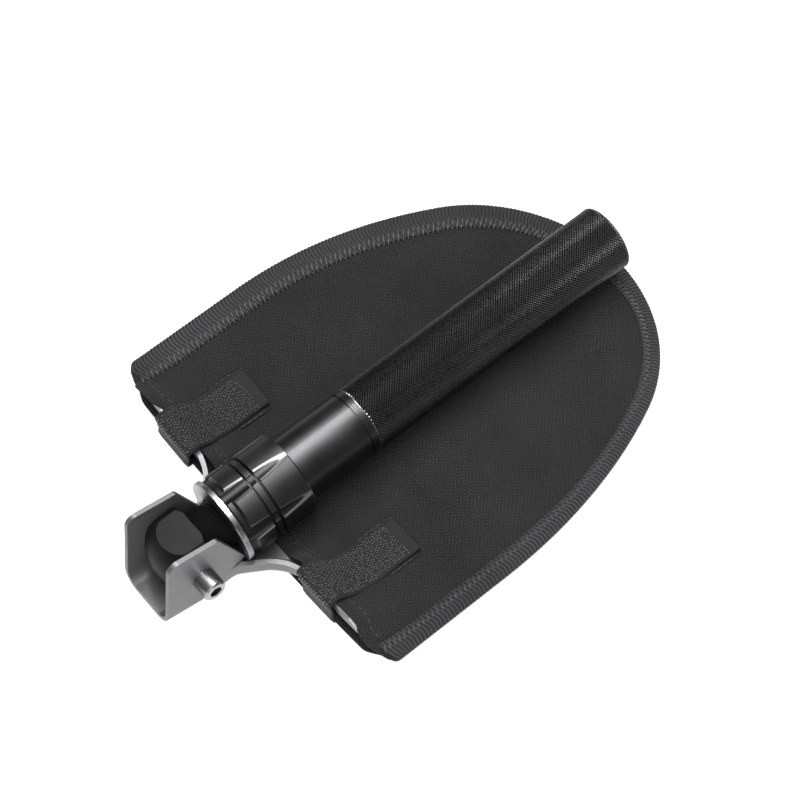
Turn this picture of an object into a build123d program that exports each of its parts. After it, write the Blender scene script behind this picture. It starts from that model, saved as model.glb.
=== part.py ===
from build123d import *
import os
from math import asin, atan2, cos, degrees, radians, sin, sqrt, tan

# Folding camp shovel in its folded state, lying on its sheath. Millimetres, +Z up.
# Every piece is drawn about the hinge pivot: X runs from the pivot along the handle to the
# blade's tip, Z = 0 is the handle's axis. PLACE then puts the origin at the middle of the
# underside of the whole object.

# --- handle ---
TUBE_R = 15.0
TUBE_WALL = 1.6
TUBE_START = 91.0
TUBE_END = 227.8
EDGE_ROUND = 0.6
FERRULE_START = 46.5
FERRULE_GROOVE_X = 87.5
FERRULE_SPIGOT_END = 104.0
FERRULE_BORE_R = 10.0
FERRULE_WALL_START = 70.0
SPIGOT_R = 9.0
SPIGOT_END = 66.0
PIN_R = 1.5
PIN_X = 51.0
RING_WIRE_R = 0.9
FERRULE_RING_X = 97.0
CAP_START = 213.0
CAP_HEAD_X = 225.6
CAP_HEAD_R = 14.2
CAP_RECESS_R = 9.0
CAP_RECESS_END = 221.0
CAP_RING_X = 217.5
CAP_SLOT = (2.6, 1.8)

# --- knuckle and its thread ---
KNUCKLE_R = 17.4
KNUCKLE_REAR = 13.0
KNUCKLE_FLAT = 14.7
KNUCKLE_HALF_WIDTH = 12.4
KNUCKLE_FRONT = 8.2
KNUCKLE_CHAMFER = 1.5
THREAD_R = 10.8
THREAD_PITCH = 1.5
THREAD_DEPTH = 0.8
THREAD_START = 9.2
THREAD_COUNT = 22

# --- lock washer and fluted collar ---
WASHER_R = 19.0
WASHER_BORE_R = 11.2
WASHER_FACE = 19.9
WASHER_T = 2.6
COLLAR_R = 18.75
COLLAR_END = 55.0
COLLAR_THREAD_END = 34.5
COLLAR_NOSE_R = 17.6
COLLAR_LAND_START = 25.7
COLLAR_GROOVES = (34.7, 38.3)
GROOVE_WIDTH = 1.1
GROOVE_DEPTH = 0.9
FLUTES = 6
FLUTE_FIRST_ANGLE = 95.0
FLUTE_CUTS = ((3.9, 2.1, 0.3), (9.0, 1.5, 0.2))
THREAD_CLEARANCE = 0.06
SLIDE_CLEARANCE = 0.25

# --- blade pressing ---
SHEET = 2.0
EAR_OUTER = 15.0
EAR_REAR_FOOT = -21.9
EAR_REAR_LEAN = 0.204
EAR_TOP_REAR = (-12.6, 23.8)
EAR_TOP_FRONT = (10.6, 18.2)
EAR_FRONT_FOOT = (19.6, -6.7)
EAR_ROUND = 4.5
NECK_BEND_X = 11.7
NECK_JOIN_X = 15.4
NECK_FLARE = 33.0
NECK_FLARE_R = 7.5
WING_R = 22.5
FLANGE_X = 33.4
FLANGE_HEIGHT = 12.4
BEND_R = 7.5
RELIEF_R = 1.7
BLADE_INSET = 9.0
TAPER_START_Y = 65.0
TAPER_END_Y = 82.0
TAPER_END_HEIGHT = 4.5
HEEL_START = -4.0
HEEL_RISE = 0.25

# --- pivot hardware (M6) ---
SCREW_R = 3.0
SCREW_HEAD_R = 5.1
SCREW_HEAD_L = 8.4
SCREW_SOCKET_R = 2.9
SCREW_SOCKET_DEPTH = 4.0
BUSH_R = 4.5
SHIM_R = 9.0
SHIM_T = 0.5
SHIM_CLEARANCE = 0.02
NUT_WASHER_R = 6.0
NUT_WASHER_T = 1.2
NUT_FLATS = 10.0
NUT_T = 6.0
NUT_INSERT_R = 3.9
NUT_INSERT_T = 1.6

# --- sheath ---
BASE_Z = -23.4
FLAT_HALF = 19.0
DISH_R = 216.0
DISH_REACH = 26.0
SHEATH_HALF_WIDTH = 90.5
SHEATH_STRAIGHT_END = 94.0
SHEATH_TIP_R = 76.0
SHEATH_TIP = 233.0
PANEL_T = 0.9
PLATE_BASE = 1.3
TOP_PANEL_BASE = 3.5
BINDING_TOP = 5.0
BINDING_WALL = 0.8
BINDING_WIDTH = 12.0
PANEL_START = 46.0
MOUTH_X = 36.0
MOUTH_CENTRE_X = 38.0
MOUTH_CENTRE_HALF = 24.0
UNDER_MOUTH_X = 32.0
HEM_RISE = 12.6
STRAP_WIDTH = 21.0
STRAP_T = 0.9
STRAP_BACK_X = 32.0
STRAP_LIP_X = 36.5
STRAP_TOP_X = 37.0
STRAP_LAND_X = 58.0
STRAP_OVER = 14.4
STRAP_PLACES = {"strap_near": (-1, 47.0, 77.5), "strap_far": (1, 50.5, 73.5)}
PATCH_LENGTH = 22.0
PATCH_T = 0.5

GAP = 0.1
BIG = 60.0
HEEL_SHARE = EAR_REAR_LEAN * HEEL_RISE
REAR_REACH = -(EAR_REAR_FOOT + HEEL_SHARE * HEEL_START) / (1 + HEEL_SHARE)
PLACE = Location((-(SHEATH_TIP - REAR_REACH) / 2, 0, -BASE_Z))


def turned(*points):
    """Solid of revolution about the handle's axis from (x, radius) points."""
    profile = Polyline(*[(x, 0, r) for x, r in points], close=True)
    return revolve(make_face(profile), Axis.X)


def along_y(radius, y_from, y_to):
    """Round bar about the pivot's axis."""
    bar = Cylinder(radius, y_to - y_from, align=(Align.CENTER, Align.CENTER, Align.MIN))
    return Plane((0, y_from, 0), z_dir=(0, 1, 0)) * bar


def block(x_from, x_to, y_from, y_to, z_from, z_to):
    """Box between three pairs of limits."""
    size = (x_to - x_from, y_to - y_from, z_to - z_from)
    return Pos(x_from, y_from, z_from) * Box(*size, align=(Align.MIN, Align.MIN, Align.MIN))


# --- shared shapes of blade and sheath ---


def dish_line(height):
    """Cross-section line of the dish: flat in the middle, curving up to both sides."""
    radius = DISH_R - height
    z = BASE_Z + height
    reach = radians(DISH_REACH)
    ends = []
    for angle in (reach, reach / 2):
        ends.append((FLAT_HALF + radius * sin(angle), z + radius * (1 - cos(angle))))
    (y_end, z_end), (y_mid, z_mid) = ends
    left = ThreePointArc((-y_end, z_end), (-y_mid, z_mid), (-FLAT_HALF, z))
    middle = Line((-FLAT_HALF, z), (FLAT_HALF, z))
    right = ThreePointArc((FLAT_HALF, z), (y_mid, z_mid), (y_end, z_end))
    return left, middle, right


def dish_slab(low, high, x_from, x_to):
    """Slab between two heights above the dished underside."""
    lower = dish_line(low)
    upper = dish_line(high)
    sides = [Line(lower[0] @ 0, upper[0] @ 0), Line(lower[2] @ 1, upper[2] @ 1)]
    section = make_face([*lower, *upper, *sides])
    return extrude(Plane.YZ.offset(x_from) * section, amount=x_to - x_from)


def side_centre():
    """Centre and radius of the sheath's side arc, which runs into the tip arc."""
    run = SHEATH_TIP - SHEATH_TIP_R - SHEATH_STRAIGHT_END
    drop = SHEATH_HALF_WIDTH
    radius = (run**2 + drop**2 - SHEATH_TIP_R**2) / (2 * (drop - SHEATH_TIP_R))
    return run, radius


def outline_edges(inset, side):
    """Arcs from the straight side to the tip, on one side of the outline."""
    run, radius = side_centre()
    tip_centre = SHEATH_TIP - SHEATH_TIP_R
    centre_y = SHEATH_HALF_WIDTH - radius
    turn = atan2(run, -centre_y)
    r_side = radius - inset
    r_tip = SHEATH_TIP_R - inset

    def on_side(angle):
        return (SHEATH_STRAIGHT_END + r_side * sin(angle), side * (centre_y + r_side * cos(angle)))

    def on_tip(angle):
        return (tip_centre + r_tip * sin(angle), side * r_tip * cos(angle))

    half = (turn + radians(90)) / 2
    return [
        ThreePointArc(on_side(0), on_side(turn / 2), on_side(turn)),
        ThreePointArc(on_tip(turn), on_tip(half), on_tip(radians(90))),
    ]


def plan_prism(edges):
    """Tall prism over a plan outline."""
    return extrude(Plane.XY.offset(-BIG) * make_face(edges), amount=2 * BIG)


def sheath_prism(inset, mouth):
    """Prism over the sheath's plan outline, drawn in from its edge by inset."""
    y = SHEATH_HALF_WIDTH - inset
    edges = [Line((mouth, -y), (mouth, y))]
    for side in (-1, 1):
        edges.append(Line((mouth, side * y), (SHEATH_STRAIGHT_END, side * y)))
        edges += outline_edges(inset, side)
    return plan_prism(edges)


# --- blade ---


def rear_wall_edges(side, inward, corner_y):
    """Plan line of the turned-up rear wall: hinge cheek, flared neck and foot flange."""
    flare = radians(NECK_FLARE)
    cheek_y = EAR_OUTER - inward
    flare_r = NECK_FLARE_R + inward
    wing_r = WING_R + inward
    flange_x = FLANGE_X + inward
    bend_x = NECK_BEND_X + flare_r * sin(flare)
    bend_y = cheek_y + flare_r * (1 - cos(flare))
    wing_x = flange_x - wing_r * (1 - sin(flare))
    wing_y = bend_y + (wing_x - bend_x) * tan(flare)
    flange_y = wing_y + wing_r * cos(flare)
    mid_turn = (flare + radians(90)) / 2
    centre_x = flange_x - wing_r
    wing_mid = (centre_x + wing_r * sin(mid_turn), flange_y - wing_r * cos(mid_turn))
    bend_mid = (
        NECK_BEND_X + flare_r * sin(flare / 2),
        cheek_y + flare_r * (1 - cos(flare / 2)),
    )

    def at(x, y):
        return (x, side * y)

    return [
        Line(at(EAR_REAR_FOOT - EAR_ROUND - inward, cheek_y), at(NECK_BEND_X, cheek_y)),
        ThreePointArc(at(NECK_BEND_X, cheek_y), at(*bend_mid), at(bend_x, bend_y)),
        Line(at(bend_x, bend_y), at(wing_x, wing_y)),
        ThreePointArc(at(wing_x, wing_y), at(*wing_mid), at(flange_x, flange_y)),
        Line(at(flange_x, flange_y), at(flange_x, corner_y)),
    ]


def heel_wedge(inward):
    """Space under the channel's floor, which rises behind the pivot."""
    floor = BASE_Z + PLATE_BASE + inward
    start = HEEL_START - inward * HEEL_RISE / 2
    run = start + BIG
    rear_floor = floor + run * HEEL_RISE
    corners = [(start, 0, floor), (-BIG, 0, rear_floor), (-BIG, 0, floor - 1), (start, 0, floor - 1)]
    return extrude(make_face(Polyline(*corners, close=True)), amount=BIG, both=True)


def pan(inward, spill):
    """Solid inside the pressing's outer face, or its inner face when drawn inward."""
    corner_y = SHEATH_HALF_WIDTH - BLADE_INSET + spill
    end_x = EAR_REAR_FOOT - EAR_ROUND - inward
    edges = [Line((end_x, inward - EAR_OUTER), (end_x, EAR_OUTER - inward))]
    for side in (-1, 1):
        edges += rear_wall_edges(side, inward, corner_y)
        flange_x = FLANGE_X + inward
        edges.append(Line((flange_x, side * corner_y), (SHEATH_STRAIGHT_END, side * corner_y)))
        edges += outline_edges(BLADE_INSET - spill, side)
    above = dish_slab(PLATE_BASE + inward, BIG, EAR_REAR_FOOT - BIG, SHEATH_TIP + BIG)
    solid = (plan_prism(edges) & above) - heel_wedge(inward)
    corner = []
    for edge in solid.edges():
        box = edge.bounding_box()
        is_rear = end_x + 0.01 < box.max.X < FLANGE_X + inward + 0.01
        if is_rear and box.max.Z < 0 and box.size.X > 0.01:
            corner.append(edge)
    return fillet(corner, BEND_R - inward)


def ear_profile():
    """Side view of a hinge ear, from the channel's bend up."""
    z_foot = BASE_Z + PLATE_BASE + BEND_R
    x_foot = EAR_REAR_LEAN * BEND_R / (1 + HEEL_SHARE) - REAR_REACH
    z_rear = z_foot + HEEL_RISE * (HEEL_START - x_foot)
    notch_z = EAR_FRONT_FOOT[1] - RELIEF_R
    points = [
        (x_foot, z_rear),
        EAR_TOP_REAR,
        EAR_TOP_FRONT,
        EAR_FRONT_FOOT,
        (EAR_FRONT_FOOT[0] - RELIEF_R, notch_z),
        (NECK_JOIN_X, notch_z),
        (NECK_JOIN_X, notch_z - 2 * RELIEF_R),
        (NECK_BEND_X, notch_z - 2 * RELIEF_R),
        (NECK_BEND_X, z_foot),
        (HEEL_START, z_foot),
    ]
    face = make_face(Polyline(*[(x, 0, z) for x, z in points], close=True))
    for corner, radius in ((EAR_TOP_REAR, EAR_ROUND), (EAR_TOP_FRONT, EAR_ROUND / 3)):
        nearest = face.vertices().sort_by_distance((corner[0], 0, corner[1]))[0]
        face = fillet(nearest, radius)
    return face


def flange_taper(side):
    """Cutter that brings a foot flange down to the plate at its outer end."""
    top = BASE_Z + BIG
    foot = BASE_Z + PLATE_BASE + FLANGE_HEIGHT
    rise = DISH_R - sqrt(DISH_R**2 - (TAPER_START_Y - FLAT_HALF) ** 2)
    end_rise = DISH_R - sqrt(DISH_R**2 - (TAPER_END_Y - FLAT_HALF) ** 2)
    corners = [
        (side * TAPER_START_Y, foot + rise),
        (side * TAPER_START_Y, top),
        (side * TAPER_END_Y, top),
        (side * TAPER_END_Y, BASE_Z + TAPER_END_HEIGHT + end_rise),
    ]
    face = Plane.YZ.offset(FLANGE_X - 1) * make_face(Polyline(*corners, close=True))
    return extrude(face, amount=SHEET + 2)


def make_blade():
    """The whole pressing: dished plate, foot flanges, channel neck and hinge ears."""
    sheet = pan(0, 0) - pan(SHEET, 2 * SHEET)
    low_wall = dish_slab(0, PLATE_BASE + FLANGE_HEIGHT, EAR_REAR_FOOT - BIG, SHEATH_TIP + BIG)
    blade = (sheet & low_wall) - flange_taper(1) - flange_taper(-1)
    for side in (-1, 1):
        ear = extrude(ear_profile(), amount=SHEET / 2, both=True)
        blade += Pos(0, side * (EAR_OUTER - SHEET / 2), 0) * ear
    foot_z = BASE_Z + PLATE_BASE
    lean = Polyline(
        (EAR_REAR_FOOT - BIG, 0, foot_z - 1),
        (EAR_REAR_FOOT - EAR_REAR_LEAN, 0, foot_z - 1),
        (EAR_REAR_FOOT + EAR_REAR_LEAN * BIG, 0, foot_z + BIG),
        (EAR_REAR_FOOT - BIG, 0, foot_z + BIG),
        close=True,
    )
    blade -= extrude(make_face(lean), amount=BIG, both=True)
    blade -= along_y(SCREW_R + THREAD_CLEARANCE, -EAR_OUTER - 1, EAR_OUTER + 1)
    return blade


# --- pivot hardware ---


def make_pivot_screw():
    """Socket-head cap screw, head on the near side."""
    head = along_y(SCREW_HEAD_R, -EAR_OUTER - SCREW_HEAD_L, -EAR_OUTER)
    rim = head.edges().filter_by(GeomType.CIRCLE).sort_by(Axis.Y)[0]
    head = chamfer(rim, 0.7)
    socket = RegularPolygon(SCREW_SOCKET_R, 6)
    socket = extrude(Plane((0, -EAR_OUTER - SCREW_HEAD_L, 0), z_dir=(0, 1, 0)) * socket, SCREW_SOCKET_DEPTH)
    shank_end = EAR_OUTER + NUT_WASHER_T + NUT_T + SCREW_R / 2
    return head - socket + along_y(SCREW_R, -EAR_OUTER, shank_end)


def make_nut_washer():
    """Plain washer under the nut."""
    ring = along_y(NUT_WASHER_R, EAR_OUTER, EAR_OUTER + NUT_WASHER_T)
    return ring - along_y(SCREW_R + THREAD_CLEARANCE, EAR_OUTER, EAR_OUTER + NUT_WASHER_T)


def nut_insert_start():
    """Y of the nylon insert's seat in the lock nut."""
    return EAR_OUTER + NUT_WASHER_T + NUT_T - NUT_INSERT_T


def make_pivot_nut():
    """Hexagonal lock nut on the far side."""
    start = EAR_OUTER + NUT_WASHER_T
    hexagon = RegularPolygon(NUT_FLATS / 2, 6, major_radius=False)
    nut = extrude(Plane((0, start, 0), z_dir=(0, 1, 0)) * hexagon, NUT_T)
    nut -= along_y(SCREW_R, start, start + NUT_T)
    return nut - along_y(NUT_INSERT_R, nut_insert_start(), start + NUT_T)


def make_nut_insert():
    """Nylon locking ring of the nut."""
    start = nut_insert_start()
    ring = along_y(NUT_INSERT_R, start, start + NUT_INSERT_T)
    return ring - along_y(SCREW_R, start, start + NUT_INSERT_T)


def make_side_shims():
    """Thin friction discs between the ears and the knuckle."""
    inner_face = EAR_OUTER - SHEET - SHIM_CLEARANCE
    bore = along_y(SCREW_R + THREAD_CLEARANCE, -inner_face, inner_face)
    discs = along_y(SHIM_R, -inner_face, SHIM_T - inner_face)
    discs += along_y(SHIM_R, inner_face - SHIM_T, inner_face)
    return discs - bore


def make_pivot_bush():
    """Plain bearing pressed into the knuckle."""
    bush = along_y(BUSH_R, -KNUCKLE_HALF_WIDTH, KNUCKLE_HALF_WIDTH)
    return bush - along_y(SCREW_R + THREAD_CLEARANCE, -KNUCKLE_HALF_WIDTH, KNUCKLE_HALF_WIDTH)


# --- handle ---


def make_knuckle():
    """Turned round-ended block with four milled flats, its threaded neck and rear spigot."""
    shoulder = KNUCKLE_R - KNUCKLE_CHAMFER
    root = THREAD_R - THREAD_DEPTH
    thread = [(KNUCKLE_FRONT, root)]
    for turn in range(THREAD_COUNT):
        x = THREAD_START + turn * THREAD_PITCH
        thread += [(x, root), (x + THREAD_PITCH / 2, THREAD_R)]
    thread_end = THREAD_START + THREAD_COUNT * THREAD_PITCH
    points = [
        (0, KNUCKLE_R),
        (KNUCKLE_FRONT - KNUCKLE_CHAMFER, KNUCKLE_R),
        (KNUCKLE_FRONT, shoulder),
        *thread,
        (thread_end, root),
        (FERRULE_START, root),
        (FERRULE_START, SPIGOT_R),
        (SPIGOT_END, SPIGOT_R),
        (SPIGOT_END, 0),
        (-KNUCKLE_REAR, 0),
    ]
    outline = Polyline(*[(x, 0, r) for x, r in points])
    bulge_x, bulge_r = 0.5523 * KNUCKLE_REAR, 0.5523 * KNUCKLE_R
    round_end = Bezier(
        (-KNUCKLE_REAR, 0, 0), (-KNUCKLE_REAR, 0, bulge_r), (-bulge_x, 0, KNUCKLE_R), (0, 0, KNUCKLE_R)
    )
    body = revolve(make_face([outline, round_end]), Axis.X)
    rear = -KNUCKLE_REAR - 1
    wide = KNUCKLE_R + 1
    for side in (-1, 1):
        top = sorted((side * KNUCKLE_FLAT, side * wide))
        cheek = sorted((side * KNUCKLE_HALF_WIDTH, side * wide))
        body -= block(rear, KNUCKLE_FRONT, -wide, wide, *top)
        body -= block(rear, KNUCKLE_FRONT, *cheek, -wide, wide)
    body -= along_y(BUSH_R, -wide, wide)
    return body - cross_pin()


def make_lock_washer():
    """Loose washer that the collar presses against the ears."""
    edge = 0.3
    rear = WASHER_FACE + WASHER_T
    return turned(
        (WASHER_FACE, WASHER_BORE_R),
        (WASHER_FACE, WASHER_R - edge),
        (WASHER_FACE + edge, WASHER_R),
        (rear - edge, WASHER_R),
        (rear, WASHER_R - edge),
        (rear, WASHER_BORE_R),
    )


def flute_cutter(angle, radius, front_depth, rear_depth):
    """Round cutter along the collar, deeper at the front than at the rear."""
    front_y = COLLAR_R + radius - front_depth
    rear_y = COLLAR_R + radius - rear_depth
    slope = degrees(atan2(rear_y - front_y, COLLAR_END - COLLAR_LAND_START))
    cutter = Rot(0, 90, 0) * Cylinder(radius, 2 * BIG)
    return Rot(angle, 0, 0) * Pos(COLLAR_LAND_START, front_y, 0) * Rot(0, 0, slope) * cutter


def make_lock_collar():
    """Fluted collar: threaded nose, two ring grooves and a skirt over the ferrule."""
    start = WASHER_FACE + WASHER_T + GAP
    edge = EDGE_ROUND
    outside = [(start, COLLAR_NOSE_R - edge), (start + edge, COLLAR_NOSE_R)]
    outside += [(COLLAR_LAND_START - edge, COLLAR_NOSE_R), (COLLAR_LAND_START, COLLAR_R - edge)]
    outside += [(COLLAR_LAND_START + edge, COLLAR_R)]
    ring_r = COLLAR_R - GROOVE_DEPTH / 2
    first, second = COLLAR_GROOVES
    for x, before, after in ((first, COLLAR_R, ring_r), (second, ring_r, COLLAR_R)):
        floor = COLLAR_R - 2 * GROOVE_DEPTH
        outside += [(x, before), (x, floor), (x + GROOVE_WIDTH, floor), (x + GROOVE_WIDTH, after)]
    outside += [(COLLAR_END - edge, COLLAR_R), (COLLAR_END, COLLAR_R - edge)]
    skirt_r = TUBE_R + SLIDE_CLEARANCE
    thread_r = THREAD_R + THREAD_CLEARANCE
    inside = [(COLLAR_END, skirt_r), (COLLAR_THREAD_END, skirt_r), (COLLAR_THREAD_END, thread_r)]
    collar = turned(*outside, *inside, (start, thread_r))
    for flute in range(FLUTES):
        angle = FLUTE_FIRST_ANGLE + flute * 360 / FLUTES
        for radius, front_depth, rear_depth in FLUTE_CUTS:
            collar -= flute_cutter(angle, radius, front_depth, rear_depth)
    return collar


def cross_pin():
    """Round bar through ferrule and spigot."""
    return Pos(PIN_X, 0, 0) * Cylinder(PIN_R, 2 * (TUBE_R - EDGE_ROUND))


def ring_groove(x, floor_r, rim_r):
    """Profile points of an O-ring groove, front to rear."""
    half = RING_WIRE_R + GAP
    return [(x - half, rim_r), (x - half, floor_r), (x + half, floor_r), (x + half, rim_r)]


def tube_bore():
    """Inner radius of the handle tube."""
    return TUBE_R - TUBE_WALL


def ring_radius():
    """Centre radius of an O-ring that seals against the tube's bore."""
    return tube_bore() - RING_WIRE_R - GAP / 2


def o_ring(x):
    """Rubber ring about the handle's axis."""
    return Pos(x, 0, 0) * Rot(0, 90, 0) * Torus(ring_radius(), RING_WIRE_R)


def make_ferrule():
    """Smooth sleeve on the neck's spigot, with its own spigot inside the tube."""
    groove = 0.7
    edge = EDGE_ROUND
    floor_r = ring_radius() - RING_WIRE_R - GAP / 2
    bore = tube_bore()
    points = [(FERRULE_START, TUBE_R - edge), (FERRULE_START + edge, TUBE_R)]
    points += [(FERRULE_GROOVE_X, TUBE_R), (FERRULE_GROOVE_X, TUBE_R - groove)]
    points += [(FERRULE_GROOVE_X + groove, TUBE_R - groove), (FERRULE_GROOVE_X + groove, TUBE_R)]
    points += [(TUBE_START, TUBE_R), (TUBE_START, bore)]
    points += ring_groove(FERRULE_RING_X, floor_r, bore)
    points += [(FERRULE_SPIGOT_END, bore), (FERRULE_SPIGOT_END, FERRULE_BORE_R)]
    points += [(FERRULE_WALL_START, FERRULE_BORE_R), (FERRULE_WALL_START, SPIGOT_R / 2)]
    points += [(SPIGOT_END, SPIGOT_R / 2), (SPIGOT_END, SPIGOT_R), (FERRULE_START, SPIGOT_R)]
    return turned(*points) - cross_pin()


def make_handle_tube():
    """Hollow grip tube with a counterbore for the end cap."""
    bore = tube_bore()
    edge = EDGE_ROUND
    return turned(
        (TUBE_START, bore),
        (TUBE_START, TUBE_R - edge / 2),
        (TUBE_START + edge / 2, TUBE_R),
        (TUBE_END - edge, TUBE_R),
        (TUBE_END, TUBE_R - edge),
        (TUBE_END, CAP_HEAD_R + GAP),
        (CAP_HEAD_X - GAP, CAP_HEAD_R + GAP),
        (CAP_HEAD_X - GAP, bore),
    )


def make_end_cap():
    """Screw-in plug with a coin slot."""
    body_r = tube_bore() - THREAD_CLEARANCE
    floor_r = ring_radius() - RING_WIRE_R - GAP / 2
    end = TUBE_END - GAP
    slot_width, slot_depth = CAP_SLOT
    points = [(CAP_START, CAP_RECESS_R), (CAP_START, body_r)]
    points += ring_groove(CAP_RING_X, floor_r, body_r)
    points += [(CAP_HEAD_X, body_r), (CAP_HEAD_X, CAP_HEAD_R), (end - EDGE_ROUND, CAP_HEAD_R)]
    points += [(end, CAP_HEAD_R - EDGE_ROUND), (end, 0), (CAP_RECESS_END, 0)]
    points += [(CAP_RECESS_END, CAP_RECESS_R)]
    half = slot_width / 2
    return turned(*points) - block(end - slot_depth, end, -CAP_HEAD_R, CAP_HEAD_R, -half, half)


# --- sheath ---


def dished(points, side, y_from, y_to):
    """Solid that follows the dish sideways, from (x, height) points of its section."""
    centre = Axis((0, side * FLAT_HALF, BASE_Z + DISH_R), (side, 0, 0))
    start = degrees(asin((y_from - FLAT_HALF) / DISH_R))
    stop = degrees(asin((y_to - FLAT_HALF) / DISH_R))
    outline = Polyline(*[(x, side * FLAT_HALF, BASE_Z + h) for x, h in points], close=True)
    return revolve(make_face(outline), centre, stop - start).rotate(centre, start)


def make_top_panel():
    """Upper layer of the pocket, open at the middle of its mouth for the neck."""
    inset = BINDING_WALL + GAP
    edge_y = SHEATH_HALF_WIDTH - inset
    blade_y = SHEATH_HALF_WIDTH - BLADE_INSET + GAP
    low = TOP_PANEL_BASE
    high = TOP_PANEL_BASE + PANEL_T
    panel = sheath_prism(inset, PANEL_START) & dish_slab(low, high, MOUTH_X, SHEATH_TIP)
    half = MOUTH_CENTRE_HALF
    tongues = block(MOUTH_CENTRE_X, PANEL_START, -half, half, -BIG, BIG)
    tongues += block(MOUTH_X, PANEL_START, blade_y, edge_y, -BIG, BIG)
    tongues += block(MOUTH_X, PANEL_START, -edge_y, -blade_y, -BIG, BIG)
    return panel + (dish_slab(low, high, MOUTH_X, PANEL_START) & tongues)


def make_mouth_hem():
    """Rising lips of the mouth, in front of the two foot flanges."""
    low = TOP_PANEL_BASE
    high = TOP_PANEL_BASE + PANEL_T
    section = [
        (PANEL_START, low),
        (PANEL_START, high),
        (MOUTH_X + PANEL_T, HEM_RISE + PANEL_T),
        (MOUTH_X, HEM_RISE + PANEL_T / 2),
        (MOUTH_X, HEM_RISE - PANEL_T),
    ]
    inner_y = MOUTH_CENTRE_HALF + GAP
    outer_y = SHEATH_HALF_WIDTH - BINDING_WIDTH
    return dished(section, -1, inner_y, outer_y) + dished(section, 1, inner_y, outer_y)


def make_bottom_panel():
    """Under layer of the pocket; its flat middle is what the shovel lies on."""
    inset = BINDING_WALL + GAP
    return sheath_prism(inset, UNDER_MOUTH_X) & dish_slab(0, PANEL_T, UNDER_MOUTH_X, SHEATH_TIP)


def make_binding():
    """Tape round the edge: a wall over both layers and a border on the upper one."""
    whole = dish_slab(0, BINDING_TOP, MOUTH_X, SHEATH_TIP + 1)
    wall = (sheath_prism(0, MOUTH_X) - sheath_prism(BINDING_WALL, MOUTH_X - 1)) & whole
    above = dish_slab(TOP_PANEL_BASE + PANEL_T, BINDING_TOP, MOUTH_CENTRE_X, SHEATH_TIP + 1)
    border = (sheath_prism(0, MOUTH_X) - sheath_prism(BINDING_WIDTH, MOUTH_X - 1)) & above
    return wall + border


def strap_section(end_x):
    """Side view of a strap: inner lip, rise behind the flange, fold, slope and landing."""
    back = STRAP_BACK_X
    t = STRAP_T
    land = BINDING_TOP
    return [
        (end_x, land),
        (STRAP_LAND_X, land),
        (STRAP_TOP_X, STRAP_OVER),
        (back + t, STRAP_OVER),
        (back + t, PANEL_T + GAP + t),
        (STRAP_LIP_X, PANEL_T + GAP + t),
        (STRAP_LIP_X, PANEL_T + GAP),
        (back, PANEL_T + GAP),
        (back, STRAP_OVER + t),
        (STRAP_TOP_X + t / 2, STRAP_OVER + t),
        (STRAP_LAND_X + t / 2, land + t),
        (end_x, land + t),
    ]


def across_strap(section, side, middle_y):
    """Solid as wide as a strap, from its section."""
    return dished(section, side, middle_y - STRAP_WIDTH / 2, middle_y + STRAP_WIDTH / 2)


def make_strap_patches():
    """Loop patches under the straps' free ends."""
    low = TOP_PANEL_BASE + PANEL_T
    patches = Part()
    for side, middle_y, end_x in STRAP_PLACES.values():
        start = end_x - PATCH_LENGTH / 2
        section = [(start, low), (end_x, low), (end_x, low + PATCH_T), (start, low + PATCH_T)]
        patches += across_strap(section, side, middle_y)
    return patches


def make_nodes():
    """Every separate piece of the shovel by name."""
    nodes = {
        "blade": make_blade(),
        "pivot_screw": make_pivot_screw(),
        "nut_washer": make_nut_washer(),
        "pivot_nut": make_pivot_nut(),
        "nut_insert": make_nut_insert(),
        "side_shims": make_side_shims(),
        "pivot_bush": make_pivot_bush(),
        "knuckle": make_knuckle(),
        "lock_washer": make_lock_washer(),
        "lock_collar": make_lock_collar(),
        "ferrule": make_ferrule(),
        "ferrule_pin": cross_pin(),
        "ferrule_ring": o_ring(FERRULE_RING_X),
        "handle_tube": make_handle_tube(),
        "end_cap": make_end_cap(),
        "end_cap_ring": o_ring(CAP_RING_X),
        "sheath_top_panel": make_top_panel(),
        "sheath_bottom_panel": make_bottom_panel(),
        "sheath_binding": make_binding(),
        "mouth_hem": make_mouth_hem(),
        "strap_patches": make_strap_patches(),
    }
    for name, (side, middle_y, end_x) in STRAP_PLACES.items():
        nodes[name] = across_strap(strap_section(end_x), side, middle_y)
    return nodes


os.makedirs("parts", exist_ok=True)
for name, shape in make_nodes().items():
    export_step(PLACE * shape, f"parts/{name}.step")
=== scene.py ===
"""Looks of the folded camp shovel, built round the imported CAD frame. Metres, +Z up."""

import math
import random

import bmesh
import bpy
from mathutils import Matrix, Vector


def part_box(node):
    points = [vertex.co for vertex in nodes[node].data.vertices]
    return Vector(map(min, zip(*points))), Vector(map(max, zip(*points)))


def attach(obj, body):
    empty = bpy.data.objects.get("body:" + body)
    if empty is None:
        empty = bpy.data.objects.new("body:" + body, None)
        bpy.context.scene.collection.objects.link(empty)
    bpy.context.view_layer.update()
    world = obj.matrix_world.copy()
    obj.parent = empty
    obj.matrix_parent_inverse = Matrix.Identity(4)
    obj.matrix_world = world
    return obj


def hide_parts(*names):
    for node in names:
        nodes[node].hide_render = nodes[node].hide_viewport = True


MM = 0.001

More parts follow.
